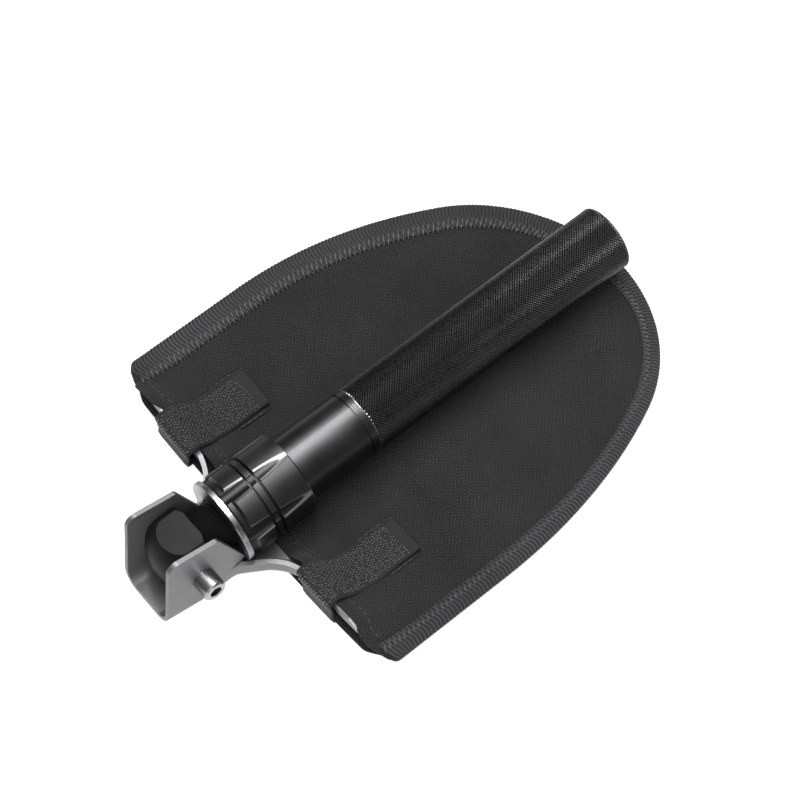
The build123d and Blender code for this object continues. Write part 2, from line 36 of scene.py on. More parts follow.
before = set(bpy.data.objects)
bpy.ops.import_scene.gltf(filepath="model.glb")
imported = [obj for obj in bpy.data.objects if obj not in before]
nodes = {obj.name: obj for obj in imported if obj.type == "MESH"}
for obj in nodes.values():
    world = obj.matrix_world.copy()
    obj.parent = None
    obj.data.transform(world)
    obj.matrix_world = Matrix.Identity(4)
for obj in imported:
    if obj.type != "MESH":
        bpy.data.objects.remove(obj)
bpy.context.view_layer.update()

# --- sheath outline, as in the CAD: straight sides, then side arcs that meet a tip arc ---
BINDING_LOW, BINDING_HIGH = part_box("sheath_binding")
HALF_WIDTH = BINDING_HIGH.y
TIP_X = BINDING_HIGH.x
MOUTH_X = BINDING_LOW.x
UNDER_MOUTH_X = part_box("sheath_bottom_panel")[0].x
TIP_R = 76 * MM
STRAIGHT_RUN = 58 * MM
STRAIGHT_END = MOUTH_X + STRAIGHT_RUN
TIP_CENTRE = TIP_X - TIP_R
SIDE_RUN = TIP_CENTRE - STRAIGHT_END
SIDE_R = (SIDE_RUN**2 + HALF_WIDTH**2 - TIP_R**2) / (2 * (HALF_WIDTH - TIP_R))
SIDE_TURN = math.atan2(SIDE_RUN, SIDE_R - HALF_WIDTH)
SIDE_ARC = SIDE_R * SIDE_TURN
TIP_ARC = TIP_R * (math.pi / 2 - SIDE_TURN)
HALF_RUN = STRAIGHT_RUN + SIDE_ARC + TIP_ARC

# --- dish of the sheath: a flat middle that curves up to both sides ---
FLAT_HALF = 19 * MM
DISH_R = 216 * MM

# --- grip tube, whose axis the turned parts share ---
TUBE_LOW, TUBE_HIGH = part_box("handle_tube")
TUBE_R = (TUBE_HIGH.y - TUBE_LOW.y) / 2
AXIS_Z = (TUBE_HIGH.z + TUBE_LOW.z) / 2
KNURL_LONG = 1.3 * MM
KNURL_ROUND = 62
KNURL_DEPTH = 0.32 * MM
GRIP_EDGE = 0.6 * MM
GRIP_WALL = 1.6 * MM

# --- collar: where its lands start, and the radii of the bare bevels beside its flutes ---
COLLAR_LAND_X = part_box("lock_collar")[0].x + 3.4 * MM
FLUTE_FLOOR = 17.0 * MM
BEVEL_LOW = 18.15 * MM
BEVEL_HIGH = 18.66 * MM
BEVEL_FADE = 0.1 * MM
FLUTE_COUNT = 6
FLUTE_ANGLE = 95.0
RING_BAND = (8.8 * MM, 13.9 * MM)


# --- shader helpers ---

THREAD_ROUND = 0.55


class Shader:
    """A node material with short calls for its maths."""

    def __init__(self, name, roughness, metallic=0.0, specular=0.5):
        self.material = bpy.data.materials.new(name)
        self.material.use_nodes = True
        self.nodes = self.material.node_tree.nodes
        self.links = self.material.node_tree.links
        self.bsdf = self.nodes["Principled BSDF"]
        self.bsdf.inputs["Roughness"].default_value = roughness
        self.bsdf.inputs["Metallic"].default_value = metallic
        self.bsdf.inputs["Specular IOR Level"].default_value = specular
        self.place = self.nodes.new("ShaderNodeTexCoord").outputs["Object"]

    def feed(self, socket, value):
        if hasattr(value, "is_output"):
            self.links.new(value, socket)
        else:
            socket.default_value = value

    def maths(self, operation, *values):
        node = self.nodes.new("ShaderNodeMath")
        node.operation = operation
        for socket, value in zip(node.inputs, values):
            self.feed(socket, value)
        return node.outputs[0]

    def axes(self, vector=None):
        node = self.nodes.new("ShaderNodeSeparateXYZ")
        self.links.new(vector or self.place, node.inputs[0])
        return node.outputs

    def noise(self, scale, detail=2.0, stretch=(1, 1, 1), vector=None):
        mapping = self.nodes.new("ShaderNodeMapping")
        mapping.inputs["Scale"].default_value = stretch
        self.links.new(vector or self.place, mapping.inputs["Vector"])
        node = self.nodes.new("ShaderNodeTexNoise")
        node.inputs["Scale"].default_value = scale
        node.inputs["Detail"].default_value = detail
        self.links.new(mapping.outputs[0], node.inputs["Vector"])
        return node.outputs["Fac"]

    def span(self, value, low, high, to_low=0.0, to_high=1.0):
        node = self.nodes.new("ShaderNodeMapRange")
        self.feed(node.inputs["Value"], value)
        node.inputs["From Min"].default_value = low
        node.inputs["From Max"].default_value = high
        node.inputs["To Min"].default_value = to_low
        node.inputs["To Max"].default_value = to_high
        return node.outputs["Result"]

    def blend(self, factor, dark, light):
        node = self.nodes.new("ShaderNodeMix")
        node.data_type = "RGBA"
        self.feed(node.inputs["Factor"], factor)
        for name, colour in (("A", dark), ("B", light)):
            value = colour if hasattr(colour, "is_output") else (*colour, 1.0)
            self.feed([s for s in node.inputs if s.name == name and s.type == "RGBA"][0], value)
        return [s for s in node.outputs if s.type == "RGBA"][0]

    def colour(self, value):
        if not hasattr(value, "is_output"):
            value = (*value, 1.0)
        self.feed(self.bsdf.inputs["Base Color"], value)

    def roughness(self, value):
        self.feed(self.bsdf.inputs["Roughness"], value)

    def bump(self, height, distance, strength=1.0):
        node = self.nodes.new("ShaderNodeBump")
        node.inputs["Strength"].default_value = strength
        node.inputs["Distance"].default_value = distance
        self.links.new(height, node.inputs["Height"])
        earlier = self.bsdf.inputs["Normal"].links
        if earlier:
            self.links.new(earlier[0].from_socket, node.inputs["Normal"])
        self.links.new(node.outputs["Normal"], self.bsdf.inputs["Normal"])

    def radius(self):
        """Distance from the handle's axis."""
        y, z = self.axes()[1:]
        z = self.maths("SUBTRACT", z, AXIS_Z)
        square = self.maths("ADD", self.maths("MULTIPLY", y, y), self.maths("MULTIPLY", z, z))
        return self.maths("SQRT", square)

    def weave(self, u, v, pitch):
        """Plain weave: its height, which direction lies on top (0 or 1), and the gaps between."""
        u = self.maths("DIVIDE", u, pitch)
        v = self.maths("DIVIDE", v, pitch)
        cells = self.maths("ADD", self.maths("FLOOR", u), self.maths("FLOOR", v))
        turn = self.maths("FLOORED_MODULO", cells, 2.0)
        across_u = self.maths("SINE", self.maths("MULTIPLY", self.maths("FRACT", u), math.pi))
        across_v = self.maths("SINE", self.maths("MULTIPLY", self.maths("FRACT", v), math.pi))
        first = self.maths("MULTIPLY", self.maths("POWER", across_u, THREAD_ROUND), across_v)
        second = self.maths("MULTIPLY", self.maths("POWER", across_v, THREAD_ROUND), across_u)
        keep = self.maths("MULTIPLY", first, turn)
        swap = self.maths("MULTIPLY", second, self.maths("SUBTRACT", 1.0, turn))
        off_u = self.maths("SUBTRACT", 1.0, across_u)
        off_v = self.maths("SUBTRACT", 1.0, across_v)
        gap = self.maths("MULTIPLY", off_u, off_v)
        return self.maths("ADD", keep, swap), turn, gap


# --- materials ---


def paint_blade():
    shader = Shader("blade_paint", 0.45, metallic=0.4)
    cloudy = shader.noise(35, 4)
    fine = shader.noise(1400, 2)
    shader.colour(shader.blend(shader.span(cloudy, 0.3, 0.7), (0.115, 0.116, 0.118), (0.145, 0.146, 0.149)))
    shader.roughness(shader.span(fine, 0.2, 0.8, 0.38, 0.52))
    shader.bump(fine, 0.06 * MM, 0.45)
    return shader.material


def plate_screw():
    shader = Shader("screw_chrome", 0.12, metallic=1.0)
    smear = shader.noise(110, 2)
    shader.colour(shader.blend(smear, (0.24, 0.24, 0.245), (0.33, 0.33, 0.335)))
    shader.roughness(shader.span(smear, 0.3, 0.8, 0.27, 0.33))
    return shader.material


def turned_steel(name, dark, light, rough, pitch):
    """Bare metal with the fine rings that a lathe leaves."""
    shader = Shader(name, rough, metallic=1.0)
    rings = shader.maths("SINE", shader.maths("MULTIPLY", shader.radius(), 2 * math.pi / pitch))
    smear = shader.noise(220, 3)
    shader.colour(shader.blend(smear, dark, light))
    shader.roughness(shader.span(smear, 0.3, 0.7, rough * 0.8, rough * 1.25))
    shader.bump(rings, 0.01 * MM, 0.2)
    return shader.material


def black_finish(name, tone, rough, metallic, grain_scale, grain):
    """Black coating or anodising with a fine grain."""
    shader = Shader(name, rough, metallic=metallic)
    grain_height = shader.noise(grain_scale, 2)
    dust = shader.noise(60, 4)
    light = tuple(1.5 * c for c in tone)
    shader.colour(shader.blend(shader.span(dust, 0.35, 0.75), tone, light))
    shader.roughness(shader.span(dust, 0.3, 0.7, rough * 0.9, rough * 1.15))
    shader.bump(grain_height, grain, 0.5)
    return shader.material


def collar_finish():
    """Satin black with bare metal along the bevels beside the flutes, and painted shade darkening the flute
    floors.
    """
    shader = Shader("collar_black", 0.42, metallic=0.8)
    radius = shader.radius()
    low = shader.span(radius, BEVEL_LOW, BEVEL_LOW + BEVEL_FADE)
    high = shader.span(radius, BEVEL_HIGH - BEVEL_FADE, BEVEL_HIGH, 1.0, 0.0)
    x, y, z = shader.axes()
    behind_nose = shader.span(x, COLLAR_LAND_X, COLLAR_LAND_X + BEVEL_FADE)
    angle = shader.maths("ARCTAN2", shader.maths("SUBTRACT", z, AXIS_Z), y)
    from_flute = shader.maths("SUBTRACT", angle, math.radians(FLUTE_ANGLE))
    beside = shader.maths("COSINE", shader.maths("MULTIPLY", from_flute, FLUTE_COUNT))
    before = shader.maths("LESS_THAN", x, COLLAR_LAND_X + RING_BAND[0])
    after = shader.maths("GREATER_THAN", x, COLLAR_LAND_X + RING_BAND[1])
    bare = shader.maths("MULTIPLY", shader.maths("MULTIPLY", low, high), behind_nose)
    bare = shader.maths("MULTIPLY", bare, shader.maths("GREATER_THAN", beside, 0.0))
    bare = shader.maths("MULTIPLY", bare, shader.maths("ADD", before, after))
    dust = shader.noise(60, 4)
    black = shader.blend(shader.span(dust, 0.35, 0.75), (0.017, 0.017, 0.0175), (0.026, 0.026, 0.0265))
    # Painted shade: towards the flute floors the black is blended further down to pure black, as shade in
    # the hollows.
    floor = shader.span(radius, FLUTE_FLOOR, BEVEL_LOW, 0.3, 1.0)
    black = shader.blend(floor, (0.0, 0.0, 0.0), black)
    shader.colour(shader.blend(bare, black, (0.15, 0.15, 0.152)))
    shader.roughness(shader.span(dust, 0.3, 0.7, 0.38, 0.46))
    shader.bump(shader.noise(1500, 2), 0.05 * MM, 0.6)
    return shader.material


def knurl_finish():
    """Black anodised diamonds: tips lighter, partly from wear and partly as painted glints, and grooves
    painted darker as shade.
    """
    shader = Shader("grip_black", 0.3, metallic=0.9)
    # Painted light: the diamond tips are toned lighter in patches, partly wear and partly painted glints;
    # the rest takes a deeper black as painted shade in the grooves.
    tip = shader.span(shader.radius(), TUBE_R - KNURL_DEPTH * 0.75, TUBE_R - KNURL_DEPTH * 0.1)
    wear_and_glint_patches = shader.span(shader.noise(45, 4), 0.3, 0.7, 0.6, 1.0)
    tip_wear_and_glint = shader.maths("MULTIPLY", tip, wear_and_glint_patches)
    shader.colour(shader.blend(tip_wear_and_glint, (0.006, 0.006, 0.006), (0.13, 0.13, 0.132)))
    shader.roughness(shader.span(shader.noise(600, 2), 0.3, 0.7, 0.24, 0.34))
    return shader.material


def plain_finish(name, tone, rough, metallic=0.0):
    """Small hardware: one tone with a little unevenness."""
    shader = Shader(name, rough, metallic=metallic)
    uneven = shader.noise(500, 2)
    shader.colour(shader.blend(uneven, tuple(0.85 * c for c in tone), tone))
    shader.roughness(shader.span(uneven, 0.3, 0.7, rough * 0.85, rough * 1.1))
    return shader.material


def thread_colour(shader, height, turn, gap, dark, light, depth=0.55):
    """Tones of a black weave: painted shade between threads and on their low parts, with the two directions
    slightly apart.
    """
    patches = shader.noise(28, 4)
    fibres = shader.noise(2600, 2)
    # Painted shade: the gaps between threads and the low parts of each thread are darkened; depth is how
    # light those low parts stay.
    gap_shade_factor = shader.maths("SUBTRACT", 1.0, shader.maths("POWER", gap, 0.5))
    shade = shader.maths("MULTIPLY", gap_shade_factor, shader.span(height, 0.0, 1.0, depth, 1.0))
    shade = shader.maths("MULTIPLY", shade, shader.span(patches, 0.25, 0.75, 0.55, 1.0))
    shade = shader.maths("MULTIPLY", shade, shader.span(turn, 0.0, 1.0, 0.7, 1.0))
    shade = shader.maths("MULTIPLY", shade, shader.span(fibres, 0.3, 0.7, 0.8, 1.1))
    shader.colour(shader.blend(shade, dark, light))


PANEL_PITCH = 1.05 * MM


def cloth_panel():
    shader = Shader("panel_weave", 0.7, specular=0.12)
    x, y = shader.axes()[:2]
    height, turn, gap = shader.weave(x, y, PANEL_PITCH)
    thread_colour(shader, height, turn, gap, (0.001, 0.001, 0.0011), (0.075, 0.076, 0.079))
    shader.bump(height, 0.32 * MM, 1.0)
    shader.bsdf.inputs["Sheen Weight"].default_value = 0.12
    shader.bsdf.inputs["Sheen Roughness"].default_value = 0.4
    return shader.material


def strip_cloth(name, tone, pitch_u, pitch_v, ribbed=False):
    """Tape or webbing, woven along its own length, which is U of the mesh."""
    shader = Shader(name, 0.7, specular=0.15)
    node = shader.nodes.new("ShaderNodeUVMap")
    node.uv_map = "run"
    u, v = shader.axes(node.outputs[0])[:2]
    stretched = shader.maths("MULTIPLY", v, pitch_u / pitch_v)
    height, turn, gap = shader.weave(u, stretched, pitch_u)
    depth = 0.55
    # Ribbed tape: the rib crests drive the weave height, so the colour also gets painted shade between the
    # ribs, deep with depth at 0.12.
    if ribbed:
        turn = 1.0
        depth = 0.12
        crest = shader.maths("SINE", shader.maths("MULTIPLY", u, math.pi / pitch_u))
        ridge = shader.maths("POWER", crest, 2.0)
        height = shader.maths("MULTIPLY", ridge, shader.span(height, 0.0, 1.0, 0.6, 1.0))
    thread_colour(shader, height, turn, gap, tuple(0.1 * c for c in tone), tone, depth)
    shader.bump(height, 0.14 * MM, 0.9)
    shader.bsdf.inputs["Sheen Weight"].default_value = 0.1
    shader.bsdf.inputs["Sheen Roughness"].default_value = 0.5
    return shader


def thread_material():
    shader = Shader("stitch_thread", 0.55)
    twist = shader.noise(1800, 2)
    shader.colour(shader.blend(twist, (0.02, 0.02, 0.021), (0.06, 0.06, 0.063)))
    shader.bump(twist, 0.08 * MM, 0.7)
    return shader.material


def floor_material():
    shader = Shader("floor", 0.9)
    patches = shader.noise(3, 2)
    shader.colour(shader.blend(patches, (0.9, 0.9, 0.9), (0.93, 0.93, 0.93)))
    shader.bsdf.inputs["Emission Color"].default_value = (1, 1, 1, 1)
    shader.bsdf.inputs["Emission Strength"].default_value = 0.72
    return shader.material


# --- meshes ---


def drop(y, height):
    """Z of a point at a height above the dished underside."""
    aside = max(abs(y) - FLAT_HALF, 0.0)
    return DISH_R - math.sqrt((DISH_R - height) ** 2 - aside**2)


def smooth(value):
    value = min(max(value, 0.0), 1.0)
    return value * value * (3 - 2 * value)


def add_mesh(name, points, faces, material, body, uvs=None, shade_smooth=True):
    """Mesh piece from points and faces; uvs holds one pair of metres per point."""
    mesh = bpy.data.meshes.new(name)
    mesh.from_pydata([tuple(p) for p in points], [], faces)
    if uvs is not None:
        layer = mesh.uv_layers.new(name="run")
        for loop in mesh.loops:
            layer.data[loop.index].uv = uvs[loop.vertex_index]
    mesh.materials.append(material)
    for polygon in mesh.polygons:
        polygon.use_smooth = shade_smooth
    mesh.validate()
    piece = bpy.data.objects.new(name, mesh)
    bpy.context.scene.collection.objects.link(piece)
    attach(piece, body)
    return piece


def outward(piece):
    """Turns all faces of a closed piece outward."""
    edit = bmesh.new()
    edit.from_mesh(piece.data)
    bmesh.ops.recalc_face_normals(edit, faces=edit.faces)
    edit.to_mesh(piece.data)
    edit.free()
    return piece


def grid_faces(rows, columns):
    faces = []
    for i in range(rows - 1):
        for j in range(columns - 1):
            k = i * columns + j
            faces.append((k, k + 1, k + columns + 1, k + columns))
    return faces


def sweep(name, rings, runs, material, body):
    """Closed solid through a list of closed rings; runs is each ring's place along the length."""
    size = len(rings[0])
    points = [p for ring in rings for p in ring]
    faces = []
    for i in range(len(rings) - 1):
        for j in range(size):
            k = (j + 1) % size
            faces.append((i * size + j, i * size + k, (i + 1) * size + k, (i + 1) * size + j))
    faces.append(tuple(range(size - 1, -1, -1)))
    faces.append(tuple(range(len(points) - size, len(points))))
    around = [0.0]
    for a, b in zip(rings[0], rings[0][1:]):
        around.append(around[-1] + (Vector(b) - Vector(a)).length)
    uvs = [(run, v) for run in runs for v in around]
    return outward(add_mesh(name, points, faces, material, body, uvs))


# --- sheath outline ---


def rim(run):
    """Point and inward direction on the sheath's outline, run metres from its near mouth corner."""
    side = -1 if run <= HALF_RUN else 1
    along = run if side < 0 else 2 * HALF_RUN - run
    if along < STRAIGHT_RUN:
        return (MOUTH_X + along, side * HALF_WIDTH), (0.0, -side)
    along -= STRAIGHT_RUN
    if along < SIDE_ARC:
        angle = along / SIDE_R
        x, y, radius = STRAIGHT_END, HALF_WIDTH - SIDE_R, SIDE_R
    else:
        angle = SIDE_TURN + (along - SIDE_ARC) / TIP_R
        x, y, radius = TIP_CENTRE, 0.0, TIP_R
    point = (x + radius * math.sin(angle), side * (y + radius * math.cos(angle)))
    return point, (-math.sin(angle), -side * math.cos(angle))


def half_width(x, inset):
    """Half the outline's width at x, drawn in by inset."""
    if x <= STRAIGHT_END:
        return HALF_WIDTH - inset
    angle = math.asin(min((x - STRAIGHT_END) / (SIDE_R - inset), 1.0))
    if angle < SIDE_TURN:
        return HALF_WIDTH - SIDE_R + (SIDE_R - inset) * math.cos(angle)
    radius = TIP_R - inset
    return math.sqrt(max(radius**2 - (x - TIP_CENTRE) ** 2, 0.0))


# --- upper layer: it lifts over the foot flanges and wraps over them outside the straps ---
PANEL_MID = 3.7 * MM
MOUTH_LIFT = 9.2 * MM
LIFT_POWER = 1.7
LIP_RUN = 21 * MM
FLANGE_START_Y = 19 * MM
FLANGE_START_RUN = 13 * MM
FLANGE_END_Y = 90 * MM
FLANGE_END_RUN = 25 * MM
CORNER_R = 4.5 * MM
CORNER_BLEND = 11 * MM
NEAR_WRAP_Y = 68.5 * MM
FAR_WRAP_Y = 60.5 * MM
WRAP_RUN = 5 * MM
WRAP_END_RUN = 13 * MM
MOUTH_WRAP = 3.2 * MM
STRAP_SIDE_Y = 52 * MM
STRAP_SIDE_RUN = 4 * MM
STRAP_SIDE_WRAP = 1.0 * MM
HANDLE_CLEAR_Y = 20 * MM
HANDLE_CLEAR_RUN = 18 * MM
TAPE_CLEAR = 13 * MM
TAPE_CLEAR_RUN = 16 * MM
SLACK_HEIGHT = 0.85 * MM
RIM_RUN = 10 * MM
RIM_DROP = 1.1 * MM
NARROWEST_HALF = 0.4 * MM


def corner_cut(inset):
    """How far a rounded mouth corner starts ahead of the mouth, at a distance in from the side."""
    reach = max(CORNER_R - inset, 0.0)
    return CORNER_R - math.sqrt(CORNER_R**2 - reach**2)


def mouth_rise(x, y):
    """How far the upper layer rises over the blade's foot flanges at the mouth."""
    inner = smooth((abs(y) - FLANGE_START_Y) / FLANGE_START_RUN)
    outer = smooth((FLANGE_END_Y - abs(y)) / FLANGE_END_RUN)
    back = min(max(1 - (x - MOUTH_X) / LIP_RUN, 0.0), 1.0)
    return MOUTH_LIFT * inner * outer * back**LIFT_POWER


def mouth_line(y):
    """X of the upper layer's mouth: it wraps over the flanges outside the straps."""
    start = FAR_WRAP_Y if y > 0 else NEAR_WRAP_Y
    wrap = smooth((abs(y) - start) / WRAP_RUN) * smooth((HALF_WIDTH - abs(y)) / WRAP_END_RUN)
    beside = smooth((abs(y) - STRAP_SIDE_Y) / STRAP_SIDE_RUN)
    beside *= smooth((start + WRAP_RUN - abs(y)) / WRAP_RUN)
    drawn_back = MOUTH_WRAP * wrap + STRAP_SIDE_WRAP * beside
    return MOUTH_X - drawn_back + corner_cut(HALF_WIDTH - abs(y))


def slack(x, y, edge):
    """Soft, shallow waves of the upper layer, none under the handle or by the tape."""
    clear = smooth((abs(y) - HANDLE_CLEAR_Y) / HANDLE_CLEAR_RUN)
    clear *= smooth((edge - TAPE_CLEAR) / TAPE_CLEAR_RUN)
    wave = math.sin(x * 95 + 2.1 * math.sin(y * 60)) * math.sin(y * 70 + 1.3 * math.sin(x * 50))
    return SLACK_HEIGHT * clear * (1 + wave)


def top_height(x, y):
    """Middle of the upper layer, as a height above the dished underside."""
    edge = min(half_width(x, 0.0) - abs(y), TIP_X - x)
    to_rim = smooth(1 - edge / RIM_RUN)
    return PANEL_MID + mouth_rise(x, y) + slack(x, y, edge) - RIM_DROP * to_rim


def panel_grid(name, height, mouth, line, inset, rows, columns, material):
    """Sheet over the sheath's outline, following a height function; line gives its mouth's X."""
    reach = TIP_X - inset - mouth
    points = []
    for i in range(rows):
        x = mouth + reach * math.sin(math.pi / 2 * i / (rows - 1))
        half = max(half_width(x, inset), NARROWEST_HALF)
        for j in range(columns):
            y = half * math.sin(math.pi / 2 * (2 * j / (columns - 1) - 1))
            back = max(1 - (x - mouth) / LIP_RUN, 0.0)
            near = x + (line(y) - mouth) * back**2
            points.append((near, y, drop(y, height(near, y))))
    piece = add_mesh(name, points, grid_faces(rows, columns), material, "blade_body")
    return outward(piece)


def thicken(piece, thickness):
    layer = piece.modifiers.new("thickness", "SOLIDIFY")
    layer.thickness = thickness
    layer.offset = 0


CLOTH_T = 0.5 * MM
PANEL_INSET = 1.2 * MM
TOP_GRID = (150, 131)
UNDER_GRID = (110, 91)
UNDER_MID = 0.3 * MM
UNDER_RIM_RISE = 0.6 * MM
UNDER_RIM_EDGE = 11 * MM
UNDER_RIM_RUN = 5 * MM
UNDER_CORNER_Y = 74 * MM
UNDER_CORNER_RUN = 14 * MM


def make_panels(material):
    inset = PANEL_INSET
    top = panel_grid("sheath_top", top_height, MOUTH_X, mouth_line, inset, *TOP_GRID, material)
    thicken(top, CLOTH_T)
    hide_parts("sheath_top_panel")

    def under_height(x, y):
        edge = min(half_width(x, 0.0) - abs(y), TIP_X - x)
        return UNDER_MID + UNDER_RIM_RISE * smooth(1 - (edge - UNDER_RIM_EDGE) / UNDER_RIM_RUN)

    def under_mouth(y):
        share = smooth((abs(y) - UNDER_CORNER_Y) / UNDER_CORNER_RUN)
        corner = (MOUTH_X + inset - UNDER_MOUTH_X) * share
        return UNDER_MOUTH_X + corner + corner_cut(HALF_WIDTH - abs(y))

    mouth = UNDER_MOUTH_X
    under = panel_grid("sheath_under", under_height, mouth, under_mouth, inset, *UNDER_GRID, material)
    thicken(under, CLOTH_T)
    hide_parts("sheath_bottom_panel")


# --- edge tape ---

# (distance in from the outline, height) in mm round the tape's folded section, outer side first
TAPE_OUTSIDE = (
    (12.0, 4.55), (11.6, 4.75), (10.0, 4.8), (8.0, 4.65), (6.0, 4.3), (4.0, 3.95), (2.2, 3.7),
    (0.9, 3.3), (0.2, 2.6), (0.15, 1.7), (0.7, 0.9), (2.0, 0.35), (4.0, 0.12), (8.0, 0.04),
    (11.6, 0.03), (12.0, 0.12),
)
TAPE_INSIDE = (
    (12.0, 0.5), (8.0, 0.55), (4.0, 0.65), (2.2, 0.95), (1.2, 1.6), (1.2, 2.6), (2.2, 3.1),
    (4.0, 3.4), (6.0, 3.7), (8.0, 3.95), (10.0, 4.12), (12.0, 4.08),
)
RIB_PITCH = 1.7 * MM
RIB_RELIEF = 0.45
RIB_STEPS = 4
RIB_BEND = 0.9 * MM
TAPE_REACH = 12
ROLL_REACH = 1.5
ROLL_SWELL = 0.2
UNDERSIDE_SWELL = 0.3
TAPE_LOWEST = 0.02
NEAR_FADE_START = HALF_RUN - 40 * MM
NEAR_FADE_RUN = 60 * MM
NEAR_CUT = 0.22
TIP_CUT = 0.2
TIP_CUT_RUN = 70 * MM


def tape_share(run):
    """Share of the tape's full width: the near side is folded narrower, most of all by the tip."""
    near = smooth(1 - (run - NEAR_FADE_START) / NEAR_FADE_RUN)
    return 1 - near * (NEAR_CUT + TIP_CUT * smooth((run - STRAIGHT_RUN) / TIP_CUT_RUN))


def tape_ring(run, relief):
    """Section of the folded tape; relief raises its outer side on a rib, whose ends bend along it."""
    share = tape_share(run)
    ring = []
    for points, swell in ((TAPE_OUTSIDE, relief), (TAPE_INSIDE, 0.0)):
        for inset, height in points:
            bent = run + RIB_BEND * math.sin(inset / TAPE_REACH * math.pi * 1.5)
            (edge_x, edge_y), (in_x, in_y) = rim(min(max(bent, 0.0), 2 * HALF_RUN))
            inward = min(inset, ROLL_REACH) + max(inset - ROLL_REACH, 0.0) * share
            if inset < ROLL_REACH:
                inward -= ROLL_SWELL * swell
            up = height + (swell if height > 2 else -swell * UNDERSIDE_SWELL)
            x, y = edge_x + in_x * inward * MM, edge_y + in_y * inward * MM
            x += corner_cut(HALF_WIDTH - abs(y)) * max(1 - (x - MOUTH_X) / CORNER_BLEND, 0.0)
            lift = mouth_rise(x, y) * smooth((height - ROLL_REACH) / 2.0)
            ring.append((x, y, drop(y, max(up, TAPE_LOWEST) * MM + lift)))
    return ring


def make_tape(material):
    ribs = int(2 * HALF_RUN / RIB_PITCH)
    rings, runs = [], []
    for i in range(RIB_STEPS * ribs + 1):
        run = 2 * HALF_RUN * i / (RIB_STEPS * ribs)
        rings.append(tape_ring(run, RIB_RELIEF * math.sin(math.pi * i / RIB_STEPS) ** 2))
        runs.append(run)
    tape = sweep("edge_tape", rings, runs, material, "blade_body")
    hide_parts("sheath_binding")


# --- stitching ---

STITCH_R = 0.24 * MM
STITCH_SIDES = 6
STITCH_GAP = 0.9 * MM
STITCH_END = 0.45
# (share of the stitch, depth in mm): both ends dip into the cloth
STITCH_DIP = ((0.0, 0.3), (0.15, 0.0), (0.5, -0.1), (0.85, 0.0), (1.0, 0.3))


def stitch_mesh(name, stitches, material, body, thick=STITCH_R):
    """Short raised threads. Each stitch is a list of points along the thread's middle."""
    points, faces = [], []
    for line in stitches:
        base = len(points)
        count = len(line)
        for i, middle in enumerate(line):
            ahead = Vector(line[min(i + 1, count - 1)]) - Vector(line[max(i - 1, 0)])
            aside = ahead.cross(Vector((0, 0, 1))).normalized()
            up = aside.cross(ahead).normalized()
            radius = thick * (STITCH_END if i in (0, count - 1) else 1.0)
            for k in range(STITCH_SIDES):
                angle = 2 * math.pi * k / STITCH_SIDES
                offset = aside * (radius * math.cos(angle)) + up * (radius * math.sin(angle))
                points.append(Vector(middle) + offset)
        for i in range(count - 1):
            for k in range(STITCH_SIDES):
                a = base + i * STITCH_SIDES
                j = (k + 1) % STITCH_SIDES
                faces.append((a + k, a + j, a + STITCH_SIDES + j, a + STITCH_SIDES + k))
        faces.append(tuple(range(base + STITCH_SIDES - 1, base - 1, -1)))
        last = base + (count - 1) * STITCH_SIDES
        faces.append(tuple(range(last, last + STITCH_SIDES)))
    piece = outward(add_mesh(name, points, faces, material, body))
    return piece


def stitched_line(place, length, stitch, gap):
    """Stitches along place(run) for run from 0 to length."""
    count = int(length / (stitch + gap))
    lines = []
    for i in range(count):
        start = i * (stitch + gap) + gap / 2
        line = []
        for share, sink in STITCH_DIP:
            x, y, z = place(start + share * stitch)
            line.append((x, y, z - sink * MM))
        lines.append(line)
    return lines


BIND_PITCH = 2.4 * MM
BIND_R = 0.5 * MM
BIND_SLANT = 0.35
BIND_MIDDLE = 9
# (distance in from the outline, height) in mm along one thread over the tape's inner edge
BIND_PATH = ((6.9, 4.0), (7.4, 4.65), (9.2, 4.75), (11.2, 4.6), (12.4, 4.35), (12.9, 3.5))


def make_tape_stitches(material):
    """Row of thick slanted threads that binds the tape's inner edge to the panel."""
    lines = []
    for i in range(int(2 * HALF_RUN / BIND_PITCH)):
        run = (i + 0.5) * BIND_PITCH
        line = []
        for inset, height in BIND_PATH:
            slanted = run + (inset - BIND_MIDDLE) * BIND_SLANT * MM
            (edge_x, edge_y), (in_x, in_y) = rim(min(max(slanted, 0.0), 2 * HALF_RUN))
            inward = inset * tape_share(run) * MM
            x, y = edge_x + in_x * inward, edge_y + in_y * inward
            line.append((x, y, drop(y, height * MM + mouth_rise(x, y))))
        lines.append(line)
    stitch_mesh("tape_stitches", lines, material, "blade_body", thick=BIND_R)


# --- mouth hem ---

HEM_HALF = 79 * MM
HEM_STEPS = 220
HEM_GROOVE = 5.4 * MM
HEM_STITCH = 2.6 * MM
HEM_STITCH_UP = 0.45 * MM
# (distance behind the mouth, height over the upper layer) in mm, with the stitches' groove
HEM_SECTION = (
    (-0.45, -0.25), (-0.6, 0.1), (-0.35, 0.55), (0.4, 0.78), (2.0, 0.8), (4.5, 0.82), (4.9, 0.75),
    (5.15, 0.36), (5.6, 0.36), (5.85, 0.75), (6.7, 0.7), (7.0, 0.55), (7.0, 0.28), (4.5, 0.26),
    (1.0, 0.26), (0.1, 0.24), (0.1, -0.28),
)


